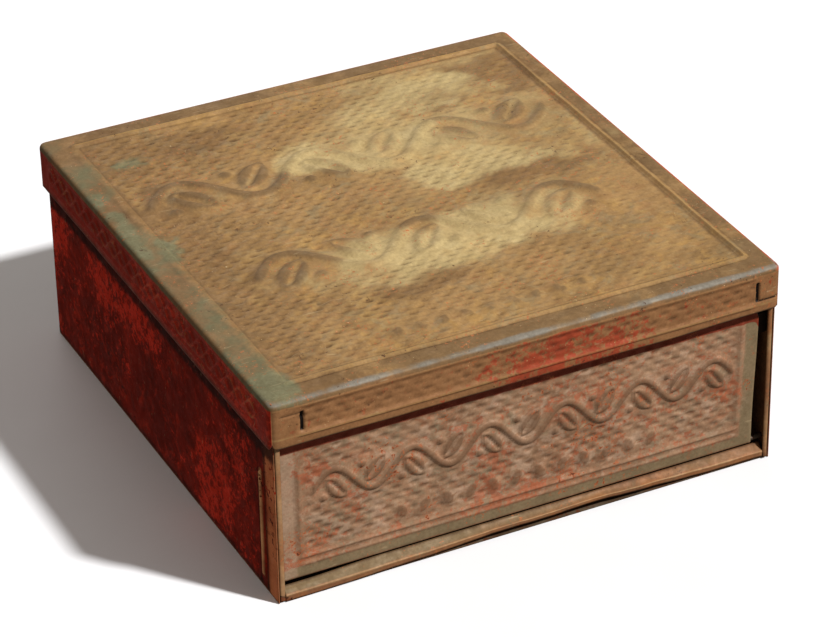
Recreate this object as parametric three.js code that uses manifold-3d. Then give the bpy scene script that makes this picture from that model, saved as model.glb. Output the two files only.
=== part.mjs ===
// A square sheet-metal shop tin with a hinged slip lid and a drop-down front flap.
// Millimetres, +Z up. The front looks along -Y, and the origin is the middle of the underside.
import * as THREE from 'three';
import { mergeVertices } from 'three/addons/utils/BufferGeometryUtils.js';
import Module from 'manifold-3d';

const wasm = await Module();
wasm.setup();

// Driving dimensions.
const bodyWidth = 240;
const bodyDepth = 252;
const totalHeight = 100;
const sheet = 0.4;
const gap = 0.3;
const lidOverhang = 2;
const skirtHeight = 22.5;
const bodyCornerRadius = 6;
const lidCornerRadius = 3.5;

const frontY = -bodyDepth / 2;
const backY = bodyDepth / 2;
const halfWidth = bodyWidth / 2;
const skirtBottom = totalHeight - skirtHeight;
const rimHeight = totalHeight - sheet - gap;

// Front opening: the strips beside it, the sill below it and the flap in it.
const stripWidth = 3;
const postDepth = 18;
const postFoot = sheet + gap;
const sillStripHeight = 3;
const sillRise = 3.9;
const flapRecess = 3;
const flapLeftGap = 0.7;
const flapRightGap = 3;
const flapTopGap = 0.5;

const openingHalfWidth = halfWidth - stripWidth;
const sillTop = sillStripHeight + sillRise;
const flapFaceY = frontY + flapRecess;

// The flap's lower edge is curled round a wire.
const flapWireRadius = 1.2;
const flapCurlRadius = flapWireRadius + gap + sheet;
const flapAxisY = flapFaceY + flapCurlRadius;
const flapAxisZ = sillTop + gap + flapCurlRadius;
const flapCurlSweep = Math.PI * 1.35;

// The stops that the closed flap rests against.
const stopWidth = 9;
const stopDepth = 8;
const stopBottom = 64;
const stopTop = 74;

// Lid hinges.
const hingeCentreX = 70;
const hingeWidth = 24;
const hingeSheet = 0.8;
const pinRadius = 1;
const boreRadius = pinRadius + gap;
const knuckleRadius = boreRadius + hingeSheet;
const middleKnuckle = 10;
const hingeAxisY = backY + gap + knuckleRadius;
const hingeAxisZ = skirtBottom - gap - 0.1 - knuckleRadius;
const bodyLeafDrop = 17;
const lidLeafTop = totalHeight - 6;
const heelReach = 3.3;
const heelAngle = THREE.MathUtils.degToRad(111);
const pinHeadRadius = 1.8;
const pinHeadHeight = 0.6;

const tin = new THREE.Group();

const colours = {
  sideRed: 0x5e1a10,
  lidBrass: 0x8d7148,
  flapTaupe: 0x84664f,
  stripBrown: 0x8a6040,
  floorRust: 0x5a3a26,
  wireSteel: 0x6b5f54,
};

function addPiece(name, geometry, colour, roughness = 0.6, metalness = 0.6) {
  const material = new THREE.MeshStandardMaterial({ color: colour, roughness, metalness });
  const mesh = new THREE.Mesh(geometry, material);
  mesh.name = name;
  tin.add(mesh);
  return mesh;
}

function boxBetween(x0, x1, y0, y1, z0, z1) {
  const geometry = new THREE.BoxGeometry(x1 - x0, y1 - y0, z1 - z0);
  geometry.translate((x0 + x1) / 2, (y0 + y1) / 2, (z0 + z1) / 2);
  return geometry;
}

function toSolid(geometry) {
  const bare = geometry.clone();
  bare.deleteAttribute('normal');
  bare.deleteAttribute('uv');
  const merged = mergeVertices(bare, 1e-4);
  const vertProperties = new Float32Array(merged.attributes.position.array);
  const triVerts = new Uint32Array(merged.index.array);
  return new wasm.Manifold(new wasm.Mesh({ numProp: 3, vertProperties, triVerts }));
}

function toGeometry(solid) {
  const result = solid.getMesh();
  const geometry = new THREE.BufferGeometry();
  geometry.setAttribute('position', new THREE.BufferAttribute(result.vertProperties, 3));
  geometry.setIndex(new THREE.BufferAttribute(result.triVerts, 1));
  const flat = geometry.toNonIndexed();
  flat.computeVertexNormals();
  return flat;
}

function join(...geometries) {
  const solids = geometries.map(toSolid);
  return toGeometry(solids.reduce((whole, piece) => whole.add(piece)));
}

function cut(geometry, ...tools) {
  const cutters = tools.map(toSolid);
  return toGeometry(cutters.reduce((whole, tool) => whole.subtract(tool), toSolid(geometry)));
}

// Shapes are drawn in (Y, Z) and run along X, or drawn in (X, Y) and run up Z.
function extrudeAlongX(shape, x0, x1) {
  const geometry = new THREE.ExtrudeGeometry(shape, { depth: x1 - x0, bevelEnabled: false });
  const turn = new THREE.Matrix4().makeBasis(
    new THREE.Vector3(0, 1, 0),
    new THREE.Vector3(0, 0, 1),
    new THREE.Vector3(1, 0, 0),
  );
  geometry.applyMatrix4(turn);
  geometry.translate(x0, 0, 0);
  return geometry;
}

function extrudeUp(shape, z0, z1, curveSegments = 5) {
  const options = { depth: z1 - z0, bevelEnabled: false, curveSegments };
  const geometry = new THREE.ExtrudeGeometry(shape, options);
  geometry.translate(0, 0, z0);
  return geometry;
}

// The section of a sheet bent along a line of points, with mitred bends. The sheet lies on the
// left of the line, as seen walking along it.
function bentSheet(points, thickness) {
  const last = points.length - 1;
  const directions = [];
  for (let i = 0; i < last; i += 1) {
    directions.push(new THREE.Vector2().subVectors(points[i + 1], points[i]).normalize());
  }
  const offset = points.map((point, i) => {
    const before = directions[Math.max(i - 1, 0)];
    const after = directions[Math.min(i, last - 1)];
    const leftOfBefore = new THREE.Vector2(-before.y, before.x);
    const leftOfAfter = new THREE.Vector2(-after.y, after.x);
    const mitre = new THREE.Vector2().addVectors(leftOfBefore, leftOfAfter).normalize();
    return mitre.multiplyScalar(thickness / mitre.dot(leftOfBefore)).add(point);
  });
  return new THREE.Shape([...points, ...offset.reverse()]);
}

function roundedRectangle(halfX, halfY, radius) {
  const shape = new THREE.Shape();
  const x = halfX - radius;
  const y = halfY - radius;
  shape.absarc(x, -y, radius, -Math.PI / 2, 0);
  shape.absarc(x, y, radius, 0, Math.PI / 2);
  shape.absarc(-x, y, radius, Math.PI / 2, Math.PI);
  shape.absarc(-x, -y, radius, Math.PI, Math.PI * 1.5);
  shape.closePath();
  return shape;
}

// The two sides and the back are one sheet, bent round at the rear corners and open in front.
function bodyWrap() {
  const outer = roundedRectangle(halfWidth, backY, bodyCornerRadius);
  const inner = roundedRectangle(halfWidth - sheet, backY - sheet, bodyCornerRadius - sheet);
  const block = extrudeUp(outer, 0, rimHeight);
  const hollow = extrudeUp(inner, -1, rimHeight + 1);
  const frontBand = bodyCornerRadius + 1;
  const frontCut = boxBetween(
    -halfWidth - 1, halfWidth + 1, frontY - 1, frontY + frontBand, -1, rimHeight + 1,
  );
  const sideEnds = [-1, 1].map((side) => {
    const outside = side * halfWidth;
    const inside = side * (halfWidth - sheet);
    const low = Math.min(outside, inside);
    const high = Math.max(outside, inside);
    return boxBetween(low, high, frontY, frontY + frontBand, 0, rimHeight);
  });
  return join(cut(block, hollow, frontCut), ...sideEnds);
}

function bottomSheet() {
  const inside = halfWidth - sheet - gap;
  const front = frontY + sheet + gap;
  const back = backY - sheet - gap;
  const radius = bodyCornerRadius - sheet - gap;
  const shape = new THREE.Shape();
  shape.moveTo(-inside, front);
  shape.lineTo(inside, front);
  shape.absarc(inside - radius, back - radius, radius, 0, Math.PI / 2);
  shape.absarc(-inside + radius, back - radius, radius, Math.PI / 2, Math.PI);
  shape.closePath();
  return extrudeUp(shape, 0, sheet);
}

// An angle strip inside the front edge of a side: its narrow face frames the opening, and its
// leg runs back along the side and holds the end of the flap's wire.
function frontPost(side) {
  const legOutside = side * (halfWidth - sheet - gap);
  const points = [
    new THREE.Vector2(legOutside, frontY + postDepth),
    new THREE.Vector2(legOutside, frontY),
    new THREE.Vector2(side * openingHalfWidth, frontY),
  ];
  const ordered = side < 0 ? points : points.reverse();
  const strip = extrudeUp(bentSheet(ordered, sheet), postFoot, rimHeight - gap);
  const wireHole = new THREE.CylinderGeometry(flapWireRadius + gap, flapWireRadius + gap, 6, 16);
  wireHole.rotateZ(Math.PI / 2);
  wireHole.translate(legOutside, flapAxisY, flapAxisZ);
  return cut(strip, wireHole);
}

// A small angle on the post's leg, with a tongue behind the flap's edge.
function flapStop(side) {
  const legInside = side * (halfWidth - sheet * 2 - gap * 2);
  const tongueY = flapFaceY + sheet + gap;
  const points = [
    new THREE.Vector2(legInside, tongueY + stopDepth),
    new THREE.Vector2(legInside, tongueY),
    new THREE.Vector2(legInside - side * stopWidth, tongueY),
  ];
  const ordered = side < 0 ? points : points.reverse();
  return extrudeUp(bentSheet(ordered, sheet), stopBottom, stopTop);
}

// The sill is one strip: upright, sloping back, and down again behind.
function frontSill() {
  const points = [
    new THREE.Vector2(frontY, 0),
    new THREE.Vector2(frontY, sillStripHeight),
    new THREE.Vector2(flapFaceY, sillTop),
    new THREE.Vector2(flapFaceY + sheet * 3, sillTop),
    new THREE.Vector2(flapFaceY + sheet * 3, postFoot),
  ];
  const shape = bentSheet(points.reverse(), sheet);
  return extrudeAlongX(shape, -openingHalfWidth + gap, openingHalfWidth - gap);
}

// The flap's sheet runs down its outer face and curls back round the wire.
function frontFlap() {
  const steps = 12;
  const points = [new THREE.Vector2(flapFaceY, skirtBottom - flapTopGap)];
  for (let i = 0; i <= steps; i += 1) {
    const angle = Math.PI + (flapCurlSweep * i) / steps;
    const y = flapAxisY + Math.cos(angle) * flapCurlRadius;
    const z = flapAxisZ + Math.sin(angle) * flapCurlRadius;
    points.push(new THREE.Vector2(y, z));
  }
  const left = -openingHalfWidth + flapLeftGap;
  const right = openingHalfWidth - flapRightGap;
  return extrudeAlongX(bentSheet(points, sheet), left, right);
}

function flapWire() {
  const length = (halfWidth - sheet - gap) * 2;
  const wire = new THREE.CylinderGeometry(flapWireRadius, flapWireRadius, length, 16);
  wire.rotateZ(Math.PI / 2);
  wire.translate(0, flapAxisY, flapAxisZ);
  return wire;
}

// The lid is one sheet, folded down on all four sides.
function lidSheet() {
  const halfX = halfWidth + lidOverhang;
  const halfY = backY + lidOverhang;
  const outer = roundedRectangle(halfX, halfY, lidCornerRadius);
  const inner = roundedRectangle(halfX - sheet, halfY - sheet, lidCornerRadius - sheet);
  const block = extrudeUp(outer, skirtBottom, totalHeight);
  const hollow = extrudeUp(inner, skirtBottom - 1, totalHeight - sheet);
  return cut(block, hollow);
}

function knuckle(centreX, length) {
  const shape = new THREE.Shape();
  shape.absarc(0, 0, knuckleRadius, 0, Math.PI * 2);
  const bore = new THREE.Path();
  bore.absarc(0, 0, boreRadius, 0, Math.PI * 2);
  shape.holes.push(bore);
  const ring = extrudeAlongX(shape, centreX - length / 2, centreX + length / 2);
  ring.translate(0, hingeAxisY, hingeAxisZ);
  return ring;
}

// The fixed leaf lies on the back of the body, below two outer knuckles.
function bodyLeaf(centreX) {
  const outerLength = (hingeWidth - middleKnuckle) / 2 - gap;
  const outerCentre = (hingeWidth - outerLength) / 2;
  const plate = boxBetween(
    centreX - hingeWidth / 2, centreX + hingeWidth / 2,
    backY + gap, backY + gap + hingeSheet,
    hingeAxisZ - bodyLeafDrop, hingeAxisZ,
  );
  const notchHalf = middleKnuckle / 2 + gap;
  const notch = boxBetween(
    centreX - notchHalf, centreX + notchHalf,
    backY, backY + hingeSheet * 3,
    hingeAxisZ - heelReach - gap * 2, hingeAxisZ + 1,
  );
  const rings = [-1, 1].map((end) => knuckle(centreX + end * outerCentre, outerLength));
  return cut(join(plate, ...rings), notch);
}

// The moving leaf lies on the lid's rear skirt, above the middle knuckle. The heel on the
// knuckle meets the back of the body when the lid stands open.
function lidLeaf(centreX) {
  const skirtFace = backY + lidOverhang + gap;
  const plate = boxBetween(
    centreX - hingeWidth / 2, centreX + hingeWidth / 2,
    skirtFace, skirtFace + hingeSheet,
    hingeAxisZ + knuckleRadius + gap, lidLeafTop,
  );
  const neck = boxBetween(
    centreX - middleKnuckle / 2, centreX + middleKnuckle / 2,
    skirtFace, skirtFace + hingeSheet,
    hingeAxisZ + boreRadius + 0.2, hingeAxisZ + knuckleRadius + gap * 2,
  );
  const heelStart = boreRadius + 0.2;
  const heel = new THREE.BoxGeometry(middleKnuckle - gap * 2, hingeSheet, heelReach - heelStart);
  heel.translate(0, 0, (heelReach + heelStart) / 2);
  heel.rotateX(-heelAngle);
  heel.translate(centreX, hingeAxisY, hingeAxisZ);
  return join(plate, neck, heel, knuckle(centreX, middleKnuckle));
}

function hingePin(centreX) {
  const half = hingeWidth / 2 + gap;
  const profile = [
    new THREE.Vector2(0, -half - pinHeadHeight),
    new THREE.Vector2(pinHeadRadius * 0.6, -half - pinHeadHeight),
    new THREE.Vector2(pinHeadRadius, -half),
    new THREE.Vector2(pinRadius, -half),
    new THREE.Vector2(pinRadius, half),
    new THREE.Vector2(pinHeadRadius, half),
    new THREE.Vector2(pinHeadRadius * 0.6, half + pinHeadHeight),
    new THREE.Vector2(0, half + pinHeadHeight),
  ];
  const pin = new THREE.LatheGeometry(profile, 16);
  pin.rotateZ(-Math.PI / 2);
  pin.translate(centreX, hingeAxisY, hingeAxisZ);
  return pin;
}

addPiece('body_wrap', bodyWrap(), colours.sideRed, 0.7, 0.4);
addPiece('bottom_sheet', bottomSheet(), colours.floorRust, 0.8, 0.3);
addPiece('front_sill', frontSill(), colours.stripBrown);
addPiece('front_flap', frontFlap(), colours.flapTaupe);
addPiece('flap_hinge_wire', flapWire(), colours.wireSteel, 0.5, 0.8);
addPiece('lid_sheet', lidSheet(), colours.lidBrass);

for (const [label, side] of [['left', -1], ['right', 1]]) {
  const centreX = side * hingeCentreX;
  addPiece(`${label}_front_post`, frontPost(side), colours.stripBrown);
  addPiece(`${label}_flap_stop`, flapStop(side), colours.stripBrown);
  addPiece(`${label}_hinge_body_leaf`, bodyLeaf(centreX), colours.wireSteel, 0.6, 0.7);
  addPiece(`${label}_hinge_lid_leaf`, lidLeaf(centreX), colours.wireSteel, 0.6, 0.7);
  addPiece(`${label}_hinge_pin`, hingePin(centreX), colours.wireSteel, 0.5, 0.8);
}

export default tin;
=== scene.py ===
"""The looks of a square embossed shop tin: hinged slip lid, drop-front flap, folded corner strips.

Shapes are worked out in millimetres in the part's frame, front towards -Y, and built in metres.
"""
import math

import bmesh
import bpy
import numpy as np
from mathutils import Matrix, Vector


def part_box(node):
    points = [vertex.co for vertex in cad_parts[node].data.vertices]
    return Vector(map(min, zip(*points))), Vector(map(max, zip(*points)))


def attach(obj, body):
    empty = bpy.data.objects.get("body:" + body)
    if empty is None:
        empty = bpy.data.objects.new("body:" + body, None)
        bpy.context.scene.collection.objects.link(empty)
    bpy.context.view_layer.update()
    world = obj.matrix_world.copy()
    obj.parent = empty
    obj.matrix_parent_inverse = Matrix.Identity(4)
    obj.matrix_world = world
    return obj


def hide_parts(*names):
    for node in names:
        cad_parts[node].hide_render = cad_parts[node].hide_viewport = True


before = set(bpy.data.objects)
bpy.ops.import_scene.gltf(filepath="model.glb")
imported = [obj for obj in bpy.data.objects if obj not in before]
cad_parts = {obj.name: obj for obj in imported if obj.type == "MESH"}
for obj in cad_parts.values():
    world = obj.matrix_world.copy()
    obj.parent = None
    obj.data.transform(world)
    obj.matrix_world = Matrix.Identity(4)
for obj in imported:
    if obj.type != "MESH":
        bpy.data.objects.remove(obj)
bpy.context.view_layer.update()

MM = 0.001
SHEET = 0.4

# An inner face has one line for this many lines of the outer face.
INNER_STRIDE = 3


def box_mm(node):
    """Lowest and highest corner of a CAD node, in millimetres."""
    low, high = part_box(node)
    return np.array(low) / MM, np.array(high) / MM


def add_object(name, data):
    """Puts a mesh, lamp or camera in the scene as an object."""
    thing = bpy.data.objects.new(name, data)
    bpy.context.scene.collection.objects.link(thing)
    return thing


# ---------------- fields

def smoothstep(start, end, value):
    """0 before start and 1 after end, with a soft step between; start may be above end."""
    t = np.clip((value - start) / (end - start), 0, 1)
    return t * t * (3 - 2 * t)


def lattice_noise(x, y, seed):
    """Smooth noise from 0 to 1 with one value on each whole number."""
    size = 64
    table = np.random.default_rng(seed).random((size, size))
    i, j = np.floor(x).astype(int), np.floor(y).astype(int)
    a, b = smoothstep(0, 1, x - i), smoothstep(0, 1, y - j)
    near = table[i % size, j % size] * (1 - a) + table[(i + 1) % size, j % size] * a
    far = table[i % size, (j + 1) % size] * (1 - a) + table[(i + 1) % size, (j + 1) % size] * a
    return near * (1 - b) + far * b


def cloud(x, y, size, seed, octaves=4):
    """Layered noise about 0, mostly within -0.5 and 0.5, whose largest features are `size` mm."""
    total, weight = 0.0, 0.0
    for k in range(octaves):
        step = 2.0 ** k
        total = total + lattice_noise(x * step / size + 13 * k, y * step / size + 7 * k, seed + k) / step
        weight += 1 / step
    return (total / weight - 0.5) * 1.8


def ridge(distance, half_width):
    """A rounded ridge, 1 on its line and 0 from half_width outwards."""
    return 0.5 + 0.5 * np.cos(np.pi * np.clip(distance / half_width, -1, 1))


def frame_distance(x, y, centre, half, radius):
    """Signed distance from a rounded rectangle, negative inside."""
    dx = np.abs(x - centre[0]) - half[0] + radius
    dy = np.abs(y - centre[1]) - half[1] + radius
    outside = np.hypot(np.maximum(dx, 0), np.maximum(dy, 0))
    return outside + np.minimum(np.maximum(dx, dy), 0) - radius


def weave(u, v, pitch, row):
    """Pressed basket weave: depth from 0 to 1, and how much of it is dark pit.

    Long pits stand in staggered rows with a shallow line between the rows, and their steep side
    is towards -v."""
    u = u + 0.9 * cloud(u, v, 7, 11, 2)
    v = v + 0.5 * cloud(u, v, 6, 12, 2)
    pit = np.zeros_like(u)
    first = np.floor(v / row)
    for k in (first - 1, first, first + 1):
        shift = 0.5 * np.mod(k, 2) + 0.05 * np.sin(k * 2.4)
        across = (np.mod(u / pitch + shift, 1) - 0.5) / 0.36
        along = v - (k + 0.4) * row + 0.22 * row * across ** 2
        along = np.where(along > 0, along / (0.5 * row), along / (0.22 * row))
        pit = np.maximum(pit, 1 - across ** 2 - along ** 2)
    pit = smoothstep(0, 0.95, pit) * (0.9 + 0.6 * cloud(u, v, 8, 13, 3))
    pillow = np.cos(np.pi * (v / row - 0.4)) * np.cos(2 * np.pi * u / pitch)
    line = 0.5 + 0.5 * np.cos(2 * np.pi * (v / row - 0.42))
    depth = 0.62 * np.maximum(pit, 0.3 * line) + 0.38 * (1 - pillow)
    return depth, np.clip(pit, 0, 1)


# ---------------- ornaments

def leaf(x, y, size):
    """Signed distance, negative inside, from a pointed leaf with a pressed midrib."""
    a, b = size * 0.27, size * 0.5
    radius = (a * a + b * b) / (2 * a)
    right = np.hypot(x + radius - a, y) - radius
    left = np.hypot(x - radius + a, y) - radius
    midrib = np.hypot(x, np.maximum(np.abs(y) - b * 0.66, 0))
    return np.maximum(np.maximum(left, right), size * 0.05 - midrib)


def vine(u, v, height, bends):
    """Signed distance, negative inside, from a waving stem with a leaf and a berry in each bend."""
    swing, width, pitch = height * 0.36, height * 0.075, height * 0.94
    reach = bends * pitch / 2
    wave = 2 * np.pi / (2 * pitch)
    phase = (u + reach) * wave
    stem = (v - swing * np.sin(phase)) / np.sqrt(1 + (swing * wave * np.cos(phase)) ** 2)
    nearest = np.hypot(stem, np.maximum(np.abs(u) - reach, 0)) - width
    for i in range(bends):
        up = 1 if i % 2 == 0 else -1
        x, y = u + reach - (i + 0.5) * pitch, v * up
        lean = math.radians(38)
        leaf_x, leaf_y = x - pitch * 0.06, y + height * 0.12
        turned_x = leaf_x * math.cos(lean) + leaf_y * math.sin(lean)
        turned_y = leaf_y * math.cos(lean) - leaf_x * math.sin(lean)
        nearest = np.minimum(nearest, leaf(turned_x, turned_y, height * 0.74))
        berry = np.hypot(x + pitch * 0.27, y + height * 0.3) - height * 0.085
        nearest = np.minimum(nearest, berry)
    return nearest


def seeds(u, v, size, pitch, count):
    """Signed distance, negative inside, from a row of small ovals that lean by turns."""
    nearest = np.clip(np.round(u / pitch - 0.5) + 0.5, -(count - 1) / 2, (count - 1) / 2)
    lean = np.where(np.mod(nearest, 2) < 1, 0.5, -0.5)
    x = u - nearest * pitch
    turned_x, turned_y = x * np.cos(lean) + v * np.sin(lean), v * np.cos(lean) - x * np.sin(lean)
    return np.hypot(turned_x / 0.62, turned_y) * 0.8 - size * 0.38


# ---------------- bent sheets as meshes

def quads(ids, flip):
    """The faces of a grid of point numbers."""
    a, b, c, d = ids[:-1, :-1], ids[:-1, 1:], ids[1:, 1:], ids[1:, :-1]
    faces = np.stack([a, b, c, d], -1).reshape(-1, 4)
    return faces[:, ::-1] if flip else faces


def lowest_nearby(height, reach):
    """The lowest value within `reach` grid steps, so that a coarse inner face stays below it."""
    for axis in (0, 1):
        pad = [(0, 0), (0, 0)]
        pad[axis] = (reach, reach)
        wide = np.pad(height, pad, mode="edge")
        count = height.shape[axis]
        height = np.min([np.take(wide, range(k, k + count), axis) for k in range(2 * reach + 1)], 0)
    return height


def border(ids):
    """The outermost entries of a grid, once round from its first corner."""
    return np.concatenate([ids[0, :-1], ids[:-1, -1], ids[-1, :0:-1], ids[:0:-1, 0]])


def thinned(count, stride, margin):
    """Every stride-th index, and all of them within the margin of either end."""
    middle = list(range(margin, count - margin, stride))
    return sorted(set(list(range(margin)) + middle + list(range(count - margin, count))))


class Sheet:
    """Builds a sheet with a detailed outer face, a plainer inner one and raw edges between them."""

    def __init__(self, name):
        self.name = name
        self.points = []
        self.masks = {}
        self.faces = []
        self.slots = []
        self.count = 0

    def add_points(self, points, masks):
        flat = points.reshape(-1, 3)
        self.points.append(flat)
        for key in set(self.masks) | set(masks):
            missing = [np.zeros(self.count)] if self.count else []
            held = self.masks.setdefault(key, missing)
            held.append(np.broadcast_to(masks.get(key, 0.0), points.shape[:-1]).ravel())
        ids = np.arange(self.count, self.count + len(flat)).reshape(points.shape[:-1])
        self.count += len(flat)
        return ids

    def add_faces(self, faces, slot):
        self.faces += [list(map(int, face)) for face in faces]
        self.slots += [slot] * len(faces)

    def patch(self, base, normals, height, masks, rows, cols, flip=False):
        """Adds an outer grid with its relief, and an inner one on the given rows and columns."""
        outer = self.add_points(base + normals * height[..., None], masks)
        picked = np.ix_(rows, cols)
        inner_masks = {key: np.broadcast_to(m, outer.shape)[picked] for key, m in masks.items()}
        depth = lowest_nearby(height, INNER_STRIDE) - SHEET
        inner = self.add_points((base + normals * depth[..., None])[picked], inner_masks)
        self.add_faces(quads(outer, flip), 0)
        self.add_faces(quads(inner, not flip), 1)
        return outer, inner, outer[picked]

    def edge(self, outer_line, inner_line, matching):
        """Closes the raw edge between a line of outer points and a line of fewer inner ones."""
        index = {int(v): k for k, v in enumerate(outer_line)}
        places = [index[int(v)] for v in matching]
        faces = []
        for i in range(len(inner_line)):
            j = (i + 1) % len(inner_line)
            start, end = places[i], places[j] if j else len(outer_line)
            span = [outer_line[k % len(outer_line)] for k in range(end, start - 1, -1)]
            faces.append(span + [inner_line[i], inner_line[j]])
        self.add_faces(faces, 2)

    def panel(self, base, normals, height, masks, rows, cols, flip=False):
        """Adds a patch and closes its raw edge all round."""
        grids = self.patch(base, normals, height, masks, rows, cols, flip)
        self.edge(*(border(ids[:, ::-1] if flip else ids) for ids in grids))

    def build(self, materials):
        """Makes the object. Its material slots are outside, inside and raw edge."""
        points = np.concatenate(self.points)
        key = np.round(points * 1e4).astype(np.int64)
        _, first, merged = np.unique(key, axis=0, return_index=True, return_inverse=True)
        merged = merged.ravel()
        faces, slots = [], []
        for face, slot in zip(self.faces, self.slots):
            ring = [int(merged[v]) for v in face]
            ring = [v for k, v in enumerate(ring) if v != ring[k - 1]]
            if len(ring) > 2:
                faces.append(ring)
                slots.append(slot)
        mesh = bpy.data.meshes.new(self.name)
        mesh.from_pydata((points[first] * MM).tolist(), [], faces)
        for name, parts in self.masks.items():
            values = np.clip(np.concatenate(parts)[first], 0, 1).astype(np.float32)
            mesh.attributes.new(name, "FLOAT", "POINT").data.foreach_set("value", values)
        for material in materials:
            mesh.materials.append(material)
        mesh.polygons.foreach_set("material_index", [min(s, len(materials) - 1) for s in slots])
        mesh.polygons.foreach_set("use_smooth", [s != 2 for s in slots])
        mesh.update()
        return add_object(self.name, mesh)


def place(piece, body, slot, *nodes):
    """Sets a finished piece on its body, in the stead of its CAD nodes."""
    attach(piece, body)
    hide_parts(*nodes)


def even_lines(start, end, step):
    """Evenly spaced values from start to end, about a step apart."""
    return np.linspace(start, end, max(2, int(round(abs(end - start) / step)) + 1))


def two_steps(start, middle, end, fine, coarse):
    """Lines a fine step apart up to the middle, and a coarse step apart after it."""
    return np.concatenate([even_lines(start, middle, fine), even_lines(middle, end, coarse)[1:]])


# ---------------- materials

def srgb(red, green, blue):
    """A colour given as 0 to 255, as the linear colour that a shader takes."""
    channels = [c / 255 for c in (red, green, blue)]
    return tuple(c / 12.92 if c < 0.04045 else ((c + 0.055) / 1.055) ** 2.4 for c in channels) + (1.0,)


class Surface:
    """A node material. Each method adds a node and returns its output."""

    def __init__(self, name, metallic, specular=0.5):
        self.material = bpy.data.materials.new(name)
        self.material.use_nodes = True
        self.tree = self.material.node_tree
        self.shader = self.tree.nodes["Principled BSDF"]
        self.shader.inputs["Metallic"].default_value = metallic
        self.shader.inputs["Specular IOR Level"].default_value = specular
        self.coords = self.tree.nodes.new("ShaderNodeTexCoord").outputs["Object"]

    def put(self, value, socket):
        if isinstance(value, (int, float, tuple)):
            socket.default_value = value
        else:
            self.tree.links.new(value, socket)

    def node(self, kind, inputs, **settings):
        """Adds a node. Its inputs are given by name or number, as values or other nodes' outputs."""
        node = self.tree.nodes.new(f"ShaderNode{kind}")
        for name, value in settings.items():
            setattr(node, name, value)
        for key, value in inputs.items():
            self.put(value, node.inputs[key])
        return node

    def noise(self, size_mm, detail=4.0, roughness=0.55, stretch=(1, 1, 1), distortion=0.0):
        """Noise about 0.5 whose features are about size_mm, longer along a stretched axis."""
        scale = tuple(1 / s for s in stretch)
        mapping = self.node("Mapping", {"Vector": self.coords, "Scale": scale})
        inputs = {
            "Vector": mapping.outputs["Vector"], "Scale": 1 / (size_mm * MM), "Detail": detail,
            "Roughness": roughness, "Distortion": distortion,
        }
        return self.node("TexNoise", inputs).outputs["Fac"]

    def mask(self, name):
        return self.node("Attribute", {}, attribute_name=name).outputs["Fac"]

    def math(self, operation, a, b):
        return self.node("Math", {0: a, 1: b}, operation=operation).outputs["Value"]

    def remap(self, value, start, end, low=0.0, high=1.0):
        inputs = {"Value": value, "From Min": start, "From Max": end, "To Min": low, "To Max": high}
        return self.node("MapRange", inputs, interpolation_type="SMOOTHSTEP").outputs["Result"]

    def mix(self, amount, a, b, mode="MIX"):
        inputs = {"Factor": amount, 6: a, 7: b}
        return self.node("Mix", inputs, data_type="RGBA", blend_type=mode).outputs[2]

    def bump(self, height, distance_mm, strength=1.0, below=None):
        inputs = {"Strength": strength, "Distance": distance_mm * MM, "Height": height}
        if below is not None:
            inputs["Normal"] = below
        return self.node("Bump", inputs).outputs["Normal"]

    def finish(self, colour, roughness, normal):
        self.put(colour, self.shader.inputs["Base Color"])
        self.put(roughness, self.shader.inputs["Roughness"])
        self.put(normal, self.shader.inputs["Normal"])
        return self.material


# A layer whose edge breaks up more than this comes off in crumbs rather than in soft patches.
FINE_BREAKUP = 2.0

# Multiplied into every lacquer: soft mottling and a fine grain.
MOTTLE = (0.56, 0.52, 0.46, 1.0)
GRAIN = (0.5, 0.45, 0.4, 1.0)


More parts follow.
